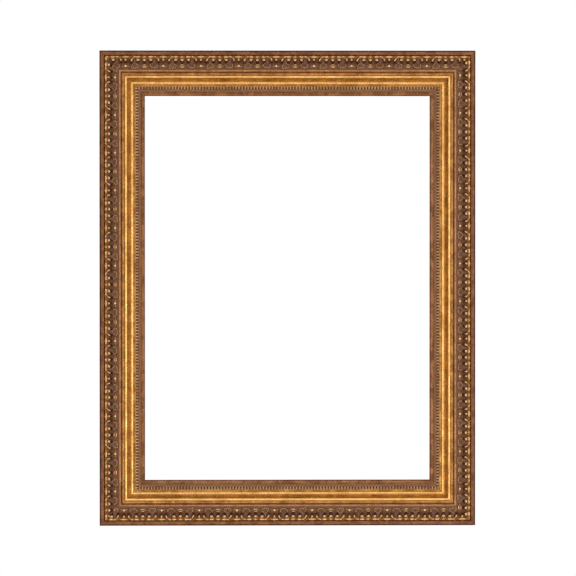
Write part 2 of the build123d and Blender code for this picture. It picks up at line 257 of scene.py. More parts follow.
def pressed_gilding(name, gold, old_gold, tan, ground, grey, shade_umber, gold_metal, fill):
    """Pressed ornament: gold on its high points, a dusty brown wash below, and umber with painted shade in
    its hollows, under its tips and in its crevices.
    """
    material, tree, shader = surface(name)
    place = object_place(tree)
    gilt, worn, dust, umber_and_painted_shade = (
        add_node(tree, "ShaderNodeAttribute", attribute_name=value).outputs["Fac"] for value in STRIP_VALUES
    )
    clouds = stretch(tree, noise(tree, place, 330, 5, 0.65), 0.36, 0.66)
    wear = noise(tree, place, 420, 4, 0.65)
    fine = noise(tree, place, 2400, 2)
    filled = stretch(tree, noise(tree, place, 48, 3), 0.44, 0.64)
    wash = mix_colour(tree, weigh(tree, clouds, 0.6, dust, 0.8, True), ground, grey)
    worn = sums(tree, "MULTIPLY", worn, stretch(tree, wear, 0.36, 0.58, 0.6, 1.15), True)
    wash = mix_colour(tree, worn, wash, tan)
    kept = sums(tree, "MULTIPLY", gilt, stretch(tree, wear, 0.3, 0.62, 0.7, 1.0), True)
    kept = sums(tree, "MULTIPLY", kept, stretch(tree, filled, 0.0, 1.0, 1.0, 1.0 - 0.5 * fill))
    umber_and_painted_shade = sums(tree, "MULTIPLY", umber_and_painted_shade, stretch(tree, filled, 0.0, 1.0, 1.0, 1.0 - fill))
    shown = stretch(tree, kept, 0.38, 0.85)
    colour = mix_colour(tree, stretch(tree, kept, 0.05, 0.38), wash, old_gold)
    colour = mix_colour(tree, shown, colour, gold)
    # Umber in the hollows, with painted shade under the tips, in the crevices and in the tongues' pits
    colour = mix_colour(tree, umber_and_painted_shade, colour, shade_umber)
    relief = weigh(tree, wear, 0.6, fine, 0.4)
    shader.inputs["Specular IOR Level"].default_value = GLAZE_SHINE
    join(
        tree,
        shader,
        Base_Color=colour,
        Roughness=stretch(tree, shown, 0.0, 1.0, 0.62, 0.34),
        Metallic=sums(tree, "MULTIPLY", shown, gold_metal),
        Normal=bump(tree, relief, 0.3, 0.00015),
    )
    return material


def plated_metal(name, colour, dull, roughness):
    """Plated metal with fine rolling marks and dull patches."""
    material, tree, shader = surface(name)
    place = object_place(tree)
    clouds = stretch(tree, noise(tree, place, 160, 4), 0.38, 0.68)
    shader.inputs["Metallic"].default_value = 1.0
    join(
        tree,
        shader,
        Base_Color=mix_colour(tree, sums(tree, "MULTIPLY", clouds, 0.6), colour, dull),
        Roughness=stretch(tree, clouds, 0.0, 1.0, roughness, roughness + 0.16),
        Normal=bump(tree, noise(tree, place, 3200, 2), 0.12, 0.00008),
    )
    return material


def felt_finish(name, light, dark):
    """Pressed felt with short matted fibres."""
    material, tree, shader = surface(name)
    fibres = noise(tree, object_place(tree), 2600, 5, 0.75)
    colour = mix_colour(tree, stretch(tree, fibres, 0.35, 0.68), dark, light)
    shader.inputs["Roughness"].default_value = 0.95
    shader.inputs["Sheen Weight"].default_value = 0.35
    join(tree, shader, Base_Color=colour, Normal=bump(tree, fibres, 0.8, 0.0004))
    return material


# Colours of the leaf, the glaze and the rubbed places, then metal share, roughness and share of glaze
TONED = {
    "umber_edge": ((94, 52, 25), (56, 27, 9), (116, 70, 38), 0.0, 0.55, 0.75),
    "brown_fillet": ((144, 95, 64), (104, 64, 41), (162, 112, 76), 0.12, 0.48, 0.65),
    "umber_groove": ((136, 76, 32), (88, 44, 16), (158, 100, 48), 0.08, 0.55, 0.65),
    "pale_bead": ((190, 139, 92), (138, 92, 58), (214, 165, 112), 0.18, 0.42, 0.55),
    "copper_fillet": ((184, 127, 73), (124, 76, 36), (208, 153, 92), 0.22, 0.42, 0.6),
    # Burnished gold on the crests is real burnishing and also a painted highlight
    "burnished_gold": ((248, 195, 117), (198, 138, 66), (254, 214, 143), 0.34, 0.38, 0.5),
    "antique_gold": ((195, 136, 57), (138, 84, 27), (217, 162, 80), 0.28, 0.44, 0.6),
    # The darkened gold is painted shade at the scoop's foot
    "dark_gold": ((172, 115, 46), (118, 69, 20), (194, 140, 66), 0.24, 0.46, 0.6),
    "inner_fillet": ((188, 131, 77), (124, 76, 38), (212, 156, 97), 0.22, 0.44, 0.62),
    "sight_brown": ((165, 110, 68), (117, 72, 42), (184, 129, 84), 0.12, 0.48, 0.72),
    # The sight edge's colour is painted shade
    "sight_edge": ((124, 78, 46), (86, 50, 28), (142, 94, 60), 0.08, 0.5, 0.7),
}
WOOD = {"bare_wood": ((206, 168, 122), (162, 118, 76))}
# Gold, old gold, tan, ground, grey and the umber that also serves as painted shade, then the gold's metal
# share and how far wax fills the hollows
PRESSED = {
    "leaf_gilding": (
        (252, 206, 148), (158, 102, 40), (190, 146, 110), (124, 84, 55), (112, 84, 74), (66, 22, 0), 0.22, 0.2
    ),
    "tongue_gilding": (
        (194, 149, 107), (134, 94, 61), (160, 118, 87), (126, 90, 64), (112, 84, 66), (52, 26, 10), 0.15, 0.6
    ),
}
# Bright and dull colour, then roughness
PLATED = {
    "button_brass": ((214, 172, 96), (150, 108, 54), 0.3),
    "screw_steel": ((196, 188, 164), (140, 132, 112), 0.28),
    "hanger_nickel": ((202, 200, 194), (150, 146, 138), 0.24),
    "nail_steel": ((150, 150, 150), (98, 94, 90), 0.34),
}
FELT = {"bumper_felt": ((74, 64, 56), (38, 33, 30))}
LOOKS = (
    (toned_gilding, TONED),
    (bare_wood, WOOD),
    (pressed_gilding, PRESSED),
    (plated_metal, PLATED),
    (felt_finish, FELT),
)
FINISHES = {
    name: make(name, *(srgb(*value) if isinstance(value, tuple) else value for value in values))
    for make, looks in LOOKS
    for name, values in looks.items()
}


# Modelling helpers

SHARP_ANGLE = math.radians(35)


def side_matrix(side):
    """Turns a rail that is modelled lying flat into its place in the frame."""
    inward = Vector(INWARD[side])
    along = inward.cross(FRONT)
    reach = HALF_HEIGHT if side in ("top", "bottom") else HALF_WIDTH
    origin = Vector((0, BACK_Y, 0)) - inward * reach
    matrix = Matrix((along, inward, FRONT)).transposed().to_4x4()
    matrix.translation = origin
    return matrix


def half_length(side):
    """Half of a rail's length, along its outer edge."""
    return HALF_WIDTH if side in ("top", "bottom") else HALF_HEIGHT


def cut_mitres(shape, side, setback=0.0, clear=True):
    """Cut both ends on the mitres, or only mark a line at a setback from them."""
    for end in (1, -1):
        geometry = shape.verts[:] + shape.edges[:] + shape.faces[:]
        place = (end * (half_length(side) - setback * math.sqrt(2)), 0, 0)
        bmesh.ops.bisect_plane(
            shape, geom=geometry, plane_co=place, plane_no=(end, 1, 0), dist=1e-9, clear_outer=clear
        )


def mitre_distance(points, side):
    """Distance of points on a flat rail from the nearer mitre plane."""
    return (half_length(side) - np.abs(points[:, 0]) - points[:, 1]) / math.sqrt(2)


def points_of(shape):
    """Places of all the points of a shape, as an array."""
    return np.array([point.co for point in shape.verts])


def map_run(shape):
    """Map a flat strip by its place along and across, for grain and streaks."""
    layer = shape.loops.layers.uv.new("run")
    for face in shape.faces:
        steep = abs(face.normal.z) < 0.5
        for loop in face.loops:
            place = loop.vert.co
            loop[layer].uv = (place.x, place.y + (place.z if steep else 0.0))


def pick(items, kind):
    """The points, edges or faces among some items."""
    return [item for item in items if isinstance(item, kind)]


def rim_edges(shape):
    """The open edges of a shape."""
    return [edge for edge in shape.edges if edge.is_boundary]


def weld(shape):
    """Merge points that lie together, and turn all faces outward."""
    bmesh.ops.remove_doubles(shape, verts=shape.verts, dist=1e-6)
    bmesh.ops.recalc_face_normals(shape, faces=shape.faces)


def draw_to(shape, pen, place):
    """Draw a straight line from a point, and give back its other end."""
    end = bmesh.ops.extrude_vert_indiv(shape, verts=[pen])["verts"][0]
    end.co = place
    return end


def spin_all(shape, items, centre, axis, angle, steps):
    """Spin points or edges round an axis, and give back those at the end of the turn."""
    spun = bmesh.ops.spin(shape, geom=items, cent=centre, axis=axis, angle=angle, steps=steps)
    return pick(spun["geom_last"], type(items[0]))


def turn_all(shape, items, centre, axis, steps):
    """Spin points or edges a full turn round an axis, with its ends merged."""
    bmesh.ops.spin(
        shape, geom=items, cent=centre, axis=axis, angle=2 * math.pi, steps=steps, use_merge=True
    )


def finish_piece(node, kind, shape, matrix, finishes, body):
    """Put a shape in its place, as a piece that rides on its body and stands for its node."""
    bmesh.ops.transform(shape, matrix=matrix, verts=shape.verts)
    mesh = bpy.data.meshes.new(f"{node}_{kind}")
    shape.to_mesh(mesh)
    shape.free()
    for finish in finishes:
        mesh.materials.append(FINISHES[finish])
    mesh.shade_smooth()
    mesh.set_sharp_from_angle(angle=SHARP_ANGLE)
    piece = bpy.data.objects.new(f"{node}_{kind}", mesh)
    bpy.context.scene.collection.objects.link(piece)
    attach(piece, body)
    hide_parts(node)


# Rails

FLANK = 0.1 * MM  # of the steep side of a ridge or a bead, which burnishing doesn't reach; the burnished crest between also carries a painted highlight
SCOOP_SHADE = 29.9 * MM  # beyond it the scoop's foot by the bead is painted darker, as painted shade
SIGHT_SHADE = RAIL_WIDTH - 1.2 * MM  # beyond it the rounded sight edge is painted dark, as painted shade
BANDS = (
    (ROUND_IN, "umber_edge"),
    (FILLET_IN, "brown_fillet"),
    (LEAF_IN, "umber_groove"),
    (THIN_BEAD_IN, "pale_bead"),
    (COPPER_OUT, "umber_groove"),
    (COPPER_IN, "copper_fillet"),
    (RIDGE_OUT + FLANK, "antique_gold"),
    (RIDGE_IN - FLANK, "burnished_gold"),
    (SCOOP_SHADE, "antique_gold"),
    (BEAD_OUT - 5 * FLANK, "dark_gold"),
    (BEAD_IN - FLANK, "burnished_gold"),
    (INNER_FILLET_OUT, "antique_gold"),
    (TONGUE_OUT, "inner_fillet"),
    (SIGHT_SHADE, "sight_brown"),
    (RAIL_WIDTH, "sight_edge"),
)
RAIL_FINISHES = sorted({finish for _, finish in BANDS} | {"bare_wood"})
BEAD_STEPS = 14
RAIL_STEP = 4 * MM
MITRE_LINE = 0.3 * MM  # how far from a mitre its edges start to dip
MITRE_DIP = 0.09 * MM


def arc_to(shape, start, across, height, sagitta, steps):
    """Draw a round stretch of a section, bulging forward by its sagitta, or backward if that is negative."""
    end = Vector((start.co.x, across, height))
    chord = end - start.co
    turn = math.copysign(1, sagitta)
    radius = (chord.length ** 2 / 4 + sagitta ** 2) / (2 * abs(sagitta))
    bulge = Vector((0, -chord.z, chord.y)).normalized() * turn
    centre = (start.co + end) / 2 + bulge * (abs(sagitta) - radius)
    angle = 2 * math.asin(min(1.0, chord.length / 2 / radius))
    return spin_all(shape, [start], centre, (-turn, 0, 0), angle, steps)[0]


def draw_moulding(shape, start):
    """Draw the moulding's section from the sight edge round the rabbet and the back and over the front."""
    pen = shape.verts.new((start, RAIL_WIDTH, SIGHT_HEIGHT - SIGHT_ROUND))
    first = pen
    arrises = []

    def line(across, height):
        nonlocal pen
        pen = draw_to(shape, pen, (pen.co.x, across, height))

    def corner(across, height):
        line(across, height)
        arrises.append(pen)

    def bow(across, height, sagitta, steps=BEAD_STEPS):
        nonlocal pen
        pen = arc_to(shape, pen, across, height, sagitta, steps)

    corner(RAIL_WIDTH, RABBET_DEPTH)
    corner(RABBET_EDGE, RABBET_DEPTH)
    corner(RABBET_EDGE, 0)
    corner(0, 0)
    line(0, OUTER_FILLET_HEIGHT - ROUND_IN)
    bow(ROUND_IN, OUTER_FILLET_HEIGHT, ROUND_IN * (1 - math.sqrt(0.5)), 8)
    corner(FILLET_IN, OUTER_FILLET_HEIGHT)
    corner(FILLET_IN, LEAF_SEAT)
    corner(LEAF_IN, LEAF_SEAT)
    corner(LEAF_IN, COPPER_HEIGHT)
    bow(THIN_BEAD_IN, COPPER_HEIGHT, BEAD_CROWN * (THIN_BEAD_IN - LEAF_IN))
    corner(THIN_BEAD_IN, MIDDLE_GROOVE)
    corner(COPPER_OUT, MIDDLE_GROOVE)
    corner(COPPER_OUT, COPPER_HEIGHT)
    corner(COPPER_IN, COPPER_HEIGHT)
    corner(COPPER_IN, MIDDLE_GROOVE)
    corner(RIDGE_OUT, MIDDLE_GROOVE)
    line(RIDGE_OUT, RIDGE_FOOT)
    bow(RIDGE_IN, RIDGE_FOOT, BEAD_CROWN * (RIDGE_IN - RIDGE_OUT))
    bow(SCOOP_LOW, SCOOP_FLOOR, -SCOOP_HOLLOW)
    bow(BEAD_OUT, BEAD_FOOT, -SCOOP_TURN, 6)
    bow(BEAD_IN, BEAD_FOOT, BEAD_CROWN * (BEAD_IN - BEAD_OUT))
    corner(BEAD_IN, BEAD_GROOVE)
    corner(INNER_FILLET_OUT, BEAD_GROOVE)
    corner(INNER_FILLET_OUT, INNER_FILLET_HEIGHT)
    corner(TONGUE_OUT, INNER_FILLET_HEIGHT)
    corner(TONGUE_OUT, TONGUE_HIGH)
    corner(TONGUE_IN, TONGUE_LOW)
    corner(SIGHT_OUT, TONGUE_LOW)
    corner(SIGHT_OUT, SIGHT_HEIGHT)
    line(RAIL_WIDTH - SIGHT_ROUND, SIGHT_HEIGHT)
    bow(RAIL_WIDTH, SIGHT_HEIGHT - SIGHT_ROUND, SIGHT_ROUND * (1 - math.sqrt(0.5)), 8)
    bmesh.ops.pointmerge(shape, verts=[first, pen], merge_co=first.co)
    return arrises


def rail_finish(face):
    """Finish of one face of a flat rail, by the band that it lies on."""
    place = face.calc_center_median()
    in_rabbet = place.y > RABBET_EDGE - ARRIS_ROUND and place.z < RABBET_DEPTH + ARRIS_ROUND
    if in_rabbet or place.z < 0.5 * ARRIS_ROUND:
        return "bare_wood"
    return next(finish for edge, finish in BANDS if place.y <= edge + 1e-7)


def unevenness(points):
    """Slow hand-finished waves of a rail's surface, along and across it."""
    along, across = points[:, 0], points[:, 1]
    waves = np.sin(along * 71 + across * 310) + 0.7 * np.sin(along * 163 - across * 520 + 1.3)
    return waves * 0.016 * MM + np.sin(along * 29 + 0.6) * 0.02 * MM


def make_rail(side):
    """One mitred length of the moulding."""
    shape = bmesh.new()
    reach = half_length(side)
    steps = round(2 * reach / RAIL_STEP)
    arrises = draw_moulding(shape, -reach)
    bmesh.ops.bevel(
        shape, geom=arrises, offset=ARRIS_ROUND, affect="VERTICES", segments=2, profile=0.5, material=-1
    )
    length_step = (2 * reach / steps, 0, 0)
    bmesh.ops.spin(
        shape, geom=shape.edges[:], cent=(0, 0, 0), axis=(1, 0, 0), dvec=length_step, angle=0, steps=steps
    )
    cut_mitres(shape, side)
    cut_mitres(shape, side, MITRE_LINE, False)
    bmesh.ops.holes_fill(shape, edges=rim_edges(shape))
    bmesh.ops.recalc_face_normals(shape, faces=shape.faces)
    points = points_of(shape)
    lift = unevenness(points)
    lift[points[:, 2] < RABBET_DEPTH + 0.5 * MM] = 0
    lift[points[:, 1] < 0.2 * MM] = 0
    at_mitre = mitre_distance(points, side) < 0.05 * MM
    lift[at_mitre & (points[:, 2] > RABBET_DEPTH + MM)] = -MITRE_DIP
    for point, rise in zip(shape.verts, lift):
        point.co.z += rise
    for face in shape.faces:
        face.material_index = RAIL_FINISHES.index(rail_finish(face))
    map_run(shape)
    finish_piece(f"rail_{side}", "moulding", shape, side_matrix(side), RAIL_FINISHES, "frame")


# Ornament

LEAF_STEPS = (0.31 * MM, 0.26 * MM)  # of a strip's fine faces, along and across
TONGUE_STEPS = (0.26 * MM, 0.24 * MM)
LEAST_RELIEF = 0.08  # millimetres of ornament that cover its seat everywhere
SUNK_SHADE_GAIN = 3.2  # umber and painted shade for each millimetre that a place lies below its surroundings
SUNK_SHADE_SHARE = 0.75  # most umber and painted shade that a sunk place gets


def smooth_line(points, rounds=2):
    """A line with its corners cut until it is a smooth curve."""
    line = np.array(points, float)
    for _ in range(rounds):
        near = line[:-1] * 0.75 + line[1:] * 0.25
        far = line[:-1] * 0.25 + line[1:] * 0.75
        middle = np.stack([near, far], 1).reshape(-1, 2)
        line = np.concatenate([line[:1], middle, line[-1:]])
    return line


class Relief:
    """Heights of a piece of pressed ornament over its ground, with how much gold its places carry."""

    def __init__(self, along, across, ground):
        self.along, self.across = along, across
        self.height = np.broadcast_to(ground, along.shape).copy()
        self.gilt, self.worn, self.dust, self.umber_and_painted_shade = np.zeros((4, *along.shape))

    def stroke(self, points, widths, heights, gilt, worn=0.0):
        """Raise a rounded stroke along a line. Its half width, height and gold run from end to end."""
        line = smooth_line(points)
        run = np.concatenate([[0], np.cumsum(np.hypot(*np.diff(line, axis=0).T))])
        for start, end, first, last in zip(line[:-1], line[1:], run[:-1], run[1:]):
            step = end - start
            beside = self.along - start[0], self.across - start[1]
            share = np.clip((beside[0] * step[0] + beside[1] * step[1]) / (step @ step), 0, 1)
            away = np.hypot(beside[0] - share * step[0], beside[1] - share * step[1])
            way = (first + share * (last - first)) / run[-1]
            width, top, gold = (near + way * (far - near) for near, far in (widths, heights, gilt))
            round_share = np.sqrt(np.clip(1 - (away / width) ** 2, 0, 1))
            self.lay(top * round_share ** 0.8, round_share, gold, worn)

    def knob(self, place, radius, height, gilt):
        """Raise a round knob."""
        away = np.hypot(self.along - place[0], self.across - place[1])
        round_share = np.sqrt(np.clip(1 - (away / radius) ** 2, 0, 1))
        self.lay(height * round_share ** 0.7, round_share, gilt)

    def lay(self, height, round_share, gilt, worn=0.0):
        """Keep the higher of what is there and what is laid."""
        over = height > self.height
        cover = np.clip((round_share - 0.2) / 0.45, 0, 1)
        self.height = np.where(over, height, self.height)
        self.gilt = np.where(over, gilt * cover, self.gilt)
        self.worn = np.where(over, worn * cover, self.worn)

    def shade(self, place, radii, depth, dark=1.0):
        """Sink a hollow into the ground and paint it dark, with umber and painted shade."""
        away = np.hypot((self.along - place[0]) / radii[0], (self.across - place[1]) / radii[1])
        share = np.clip(1.35 - away, 0, 1) * dark
        low = self.gilt < 0.35
        self.umber_and_painted_shade = np.where(low, np.maximum(self.umber_and_painted_shade, share), self.umber_and_painted_shade)
        self.height = np.where(low, self.height - depth * share, self.height)


def leaf_relief(along, across):
    """Leaf ornament over one repeat, in millimetres from the middle of a fan and from the groove beside it.

    Fans, cups and pearls mirror about the fan's middle. The blades and the scrolls beside the fan don't:
    on one hand a blade comes over the groove and the scroll is a pointed leaf, and on the other hand the
    scroll is a bowl.
    """
    relief = Relief(np.abs(along), across, np.where(across < 0, 0.2, 0.9))
    stroke, shade = relief.stroke, relief.shade
    fan, cup, shell = 0.0, 12.6, LEAF_REPEAT / MM / 2

    # Web, bank and rim along the groove, and the bodies of the leaves
    stroke([(-1, 2.6), (21, 2.6)], (1.9, 1.9), (1.6, 1.6), (0.13, 0.13))
    stroke([(-1, 1.4), (21, 1.4)], (1.5, 1.5), (2.5, 2.5), (0.36, 0.36))
    stroke([(fan, 1.4), (fan, 4.0)], (2.5, 1.1), (2.8, 3.2), (0.5, 0.5))
    stroke([(cup, 1.4), (cup, 4.1)], (2.1, 1.2), (2.7, 3.1), (0.55, 0.55))
    stroke([(shell, 1.4), (shell, 4.4)], (2.2, 1.2), (2.5, 3.0), (0.5, 0.5))
    stroke([(-1, 0.65), (21, 0.65)], (0.55, 0.55), (3.0, 3.0), (0.5, 0.5))

    # Thick upper edge of each leaf
    stroke([(fan, 1.35), (fan + 2.8, 1.25)], (1.1, 0.9), (3.9, 3.6), (1.0, 0.8))
    stroke([(cup - 1.6, 1.3), (cup + 1.5, 1.2)], (0.95, 1.1), (3.7, 3.9), (0.8, 1.0))
    stroke([(shell - 1.3, 1.4), (shell, 1.35)], (0.85, 1.0), (3.6, 3.8), (0.72, 0.9))

    # Raised sides that run to the tips
    stroke([(fan + 2.5, 1.6), (fan + 1.5, 2.9), (fan + 0.6, 4.2)], (0.6, 0.55), (3.4, 3.8), (0.42, 0.5))
    stroke([(cup + 2.0, 1.2), (cup + 2.2, 2.9), (cup + 0.6, 4.5)], (0.75, 0.75), (3.7, 4.1), (0.55, 0.65))
    stroke([(cup - 1.9, 1.2), (cup - 1.6, 2.8), (cup - 0.4, 4.3)], (0.6, 0.6), (3.4, 3.8), (0.42, 0.5))
    shell_side = [(shell - 1.6, 1.4), (shell - 2.2, 2.7), (shell - 1.2, 4.2), (shell, 4.9)]
    stroke(shell_side, (0.7, 0.8), (3.6, 4.1), (0.5, 0.65))
    relief.knob((fan, 4.3), 1.25, 4.8, 1.35)
    stroke([(cup - 0.5, 4.4), (cup + 0.5, 4.4)], (1.2, 1.25), (4.7, 4.7), (1.3, 1.3))
    stroke([(shell - 0.5, 4.5), (shell, 4.6)], (1.2, 1.3), (4.7, 4.7), (1.3, 1.3))

    # Pearl below each fan, two bars below each shell and the plain edge below them
    stroke([(-1, 14.0), (21, 14.0)], (1.3, 1.3), (1.0, 1.0), (0.0, 0.0), 0.2)
    stroke([(shell - 3.2, 10.6), (shell, 10.6)], (0.7, 1.3), (1.5, 1.8), (0.0, 0.1), 0.5)
    stroke([(fan, 10.6), (fan + 3.4, 11.2)], (1.2, 0.7), (1.7, 1.7), (0.0, 0.0), 0.6)
    relief.knob((fan, 10.5), 1.5, 3.0, 1.1)
    stroke([(shell - 1.2, 9.4), (shell, 9.4)], (0.6, 0.7), (2.6, 2.8), (0.9, 1.1))
    stroke([(shell - 1.7, 11.6), (shell, 11.6)], (0.6, 0.7), (2.6, 2.7), (0.85, 1.05))

    # Hand on which the blade crosses the groove, with its pointed leaf
    relief.along = -along
    stroke([(9.7, 0.9), (8.6, 1.4), (7.6, 2.4)], (0.95, 0.85), (3.6, 3.6), (0.95, 0.6))
    stroke([(7.6, 2.2), (6.7, 3.6), (5.8, 4.9)], (0.75, 1.1), (3.6, 4.6), (0.5, 1.3))
    stroke([(8.2, -1.2), (7.0, 0.2), (5.5, 2.2)], (0.65, 0.7), (1.9, 2.9), (0.36, 0.42), 0.5)
    stroke([(9.7, 3.0), (9.7, 7.4), (9.6, 10.6)], (0.9, 3.2), (1.9, 1.6), (0.0, 0.0), 0.15)
    stroke([(6.2, 12.4), (6.2, 10.8), (7.4, 9.0), (9.2, 7.2)], (0.75, 0.6), (2.6, 2.4), (0.1, 0.0), 1.0)
    leaf_edge = [(9.8, 7.2), (12.0, 8.8), (13.3, 10.6), (12.4, 12.2), (9.5, 12.7), (6.4, 12.6)]
    stroke(leaf_edge, (0.6, 0.75), (2.4, 2.6), (0.0, 0.1), 1.0)
    stroke([(9.7, 6.6), (9.4, 8.8), (8.2, 11.2)], (0.5, 0.55), (2.1, 2.1), (0.0, 0.0), 0.75)
    stroke([(11.2, 9.2), (11.0, 10.6), (9.8, 11.5)], (0.45, 0.5), (2.0, 2.0), (0.0, 0.0), 0.6)

    # The other hand, with its bowl
    stroke([(-9.2, 0.9), (-7.6, 1.4), (-6.2, 2.3)], (0.9, 0.85), (3.5, 3.6), (0.9, 0.6))
    stroke([(-6.2, 2.1), (-5.1, 3.4), (-4.7, 4.7)], (0.75, 1.05), (3.6, 4.6), (0.5, 1.3))
    stroke([(-8.9, 3.0), (-9.2, 7.0), (-9.6, 10.4)], (1.0, 3.0), (1.9, 1.6), (0.0, 0.0), 0.1)
    bowl_edge = [(-13.5, 9.0), (-12.8, 11.2), (-10.2, 12.4), (-7.4, 12.3), (-6.0, 10.7), (-6.6, 9.0)]
    stroke(bowl_edge, (0.7, 0.75), (2.6, 2.6), (0.1, 0.1), 1.0)
    stroke([(-10.0, 5.6), (-12.0, 8.4)], (0.65, 0.65), (2.4, 2.1), (0.15, 0.05), 0.8)
    stroke([(-11.2, 9.3), (-9.9, 10.6), (-8.0, 10.4)], (0.45, 0.5), (2.0, 2.0), (0.0, 0.0), 0.6)

    # Umber and painted shade below the leaves, but for the scrolls' dusty tops
    bare = np.clip(1 - (relief.gilt + relief.worn) / 0.3, 0, 1)
    valley_shade = np.clip((across - 2.8) / 2.4, 0, 1) * np.clip((9.0 - across) / 1.8, 0, 1)
    scroll_top = np.clip(1.5 - np.hypot((np.abs(along) - 9.3) / 1.9, (across - 6.0) / 3.2), 0, 1)
    between = np.clip(1.4 - np.hypot((np.abs(along) - 16.0) / 1.1, (across - 5.8) / 2.0), 0, 1)
    relief.umber_and_painted_shade = 0.6 * bare * valley_shade * (1 - scroll_top) * (1 - 0.7 * between)
    relief.dust = np.maximum(scroll_top, between)
    relief.worn = relief.worn * (1 - 0.6 * scroll_top)

    # Umber and painted shade under each tip, in the scrolls, between the bars and along the groove
    shade((5.6, 7.2), (1.9, 1.3), 0.4)
    shade((-4.7, 7.0), (1.7, 1.2), 0.4)
    shade((9.4, 9.9), (1.5, 1.5), 0.2, 0.45)
    shade((-9.6, 9.6), (1.9, 1.5), 0.2, 0.45)
    shade((-13.9, 12.4), (1.0, 0.8), 0.2, 0.45)
    relief.along = np.abs(along)
    shade((fan, 6.8), (1.5, 1.3), 0.4)
    shade((cup + 0.1, 7.0), (2.2, 1.1), 0.4)
    shade((shell, 7.1), (2.1, 1.4), 0.4)
    shade((shell, 3.0), (0.9, 0.9), 0.2)
    shade((shell, 10.5), (1.5, 0.35), 0.1, 0.6)
    shade((4.3, 9.2), (0.9, 1.3), 0.2, 0.45)
    shade((4.2, 12.9), (1.6, 0.6), 0.2, 0.45)
    shade((15.6, 9.2), (0.9, 1.1), 0.2, 0.45)
    # Painted shade and umber along the groove
    relief.umber_and_painted_shade = np.where((across < 0.0) & (relief.worn < 0.2), 0.3, relief.umber_and_painted_shade)
    return relief


def tongue_relief(along, across):
    """Tongue ornament over one pitch, in millimetres from a tongue's middle and the strip's outer edge."""
    between = TONGUE_PITCH / MM / 2 - np.abs(along)
    away = np.hypot(between / 0.75, (across - 1.9) / 1.3)
    pit = np.clip((1.1 - away) / 0.6, 0, 1)
    ring = np.clip(1 - np.abs(away - 1.55) / 0.55, 0, 1)
    back = np.sqrt(np.clip(1 - (along / 0.95) ** 2, 0, 1)) * np.clip((4.0 - across) / 1.6, 0, 1)
    relief = Relief(along, across, TONGUE_GROUND / MM)
    lip = np.clip((across - 3.6) / 0.8, 0, 1)
    relief.height = relief.height + 0.7 * np.maximum(back, np.maximum(0.75 * ring, 0.7 * lip)) - 0.35 * pit
    relief.gilt = np.clip(np.maximum(back, 0.8 * ring) + 0.1, 0, 1) * (1 - pit)
    relief.worn = 0.4 * lip
    # Each tongue's pit is painted dark, as painted shade in its cup
    relief.umber_and_painted_shade = 0.55 * pit
    return relief


def blur(values, rounds):
    """Values averaged with their neighbours, round and round along the repeat."""
    for _ in range(rounds):
        values = (np.roll(values, 1, 0) + values + np.roll(values, -1, 0)) / 3
        padded = np.pad(values, ((0, 0), (1, 1)), mode="edge")
        values = (padded[:, :-2] + padded[:, 1:-1] + padded[:, 2:]) / 3
    return values


class Pattern:
    """One repeat of ornament, worked out on a fine grid and read at any place of a strip."""

    def __init__(self, repeat, low, high, make, step=0.1, cavity_shade_blur=16):
        count = round(repeat / MM / step)
        rows = round((high - low) / MM / step) + 1
        self.repeat, self.low, self.high = repeat, low, high
        along = (np.arange(count) / count - 0.5) * repeat / MM
        across = np.linspace(low, high, rows) / MM
        relief = make(*np.meshgrid(along, across, indexing="ij"))
        height = blur(relief.height, 2)
        # Places below their surroundings get umber and painted shade
        sunk_shade = np.clip((blur(height, cavity_shade_blur) - height) * SUNK_SHADE_GAIN, 0, 1)
        self.fields = {
            "height": height,
            "gilt": blur(relief.gilt, 1),
            "worn": blur(relief.worn, 1),
            "dust": blur(relief.dust, 2),
            "umber_and_painted_shade": np.clip(blur(relief.umber_and_painted_shade, 3) + sunk_shade * SUNK_SHADE_SHARE, 0, 1),
        }

    def read(self, name, along, across):
        """Value of a field at places along and across a strip."""
        field = self.fields[name]
        count, rows = field.shape
        row_place = np.clip((across - self.low) / (self.high - self.low), 0, 1) * (rows - 1)
        column_place = ((along / self.repeat + 0.5) % 1.0) * count
        row = np.minimum(row_place.astype(int), rows - 2)
        column = column_place.astype(int) % count
        following = (column + 1) % count
        row_share = row_place - row
        column_share = column_place - np.floor(column_place)
        near = field[column, row] * (1 - column_share) + field[following, row] * column_share
        far = field[column, row + 1] * (1 - column_share) + field[following, row + 1] * column_share
        return near * (1 - row_share) + far * row_share


def ornament_strip(side, low, high, steps):
    """Flat mitred strip of fine faces between two distances from a rail's outer edge."""
    shape = bmesh.new()
    reach = half_length(side) - low
    counts = round(2 * reach / steps[0]), round((high - low) / steps[1])
    bmesh.ops.create_grid(shape, x_segments=counts[0], y_segments=counts[1], size=0.5)
    bmesh.ops.scale(shape, vec=(2 * reach, high - low, 1), verts=shape.verts)
    bmesh.ops.translate(shape, vec=(0, (low + high) / 2, 0), verts=shape.verts)
    cut_mitres(shape, side)
    return shape


def shape_strip(shape, pattern, along, across, seat, steepness=1.0):
    """Raise a strip's ornament over its seat, store what its finish needs and close it below."""
    for name in STRIP_VALUES:
        layer = shape.verts.layers.float.new(name)
        for point, value in zip(shape.verts, pattern.read(name, along, across)):
            point[layer] = float(value)
    for point, height in zip(shape.verts, pattern.read("height", along, across)):
        point.co.z = seat(point.co) + max(height, LEAST_RELIEF) * MM * steepness
    walls = bmesh.ops.extrude_edge_only(shape, edges=rim_edges(shape))
    for point in pick(walls["geom"], BMVert):
        point.co.z = seat(point.co)
    bmesh.ops.contextual_create(shape, geom=rim_edges(shape))
    bmesh.ops.recalc_face_normals(shape, faces=shape.faces)
    map_run(shape)


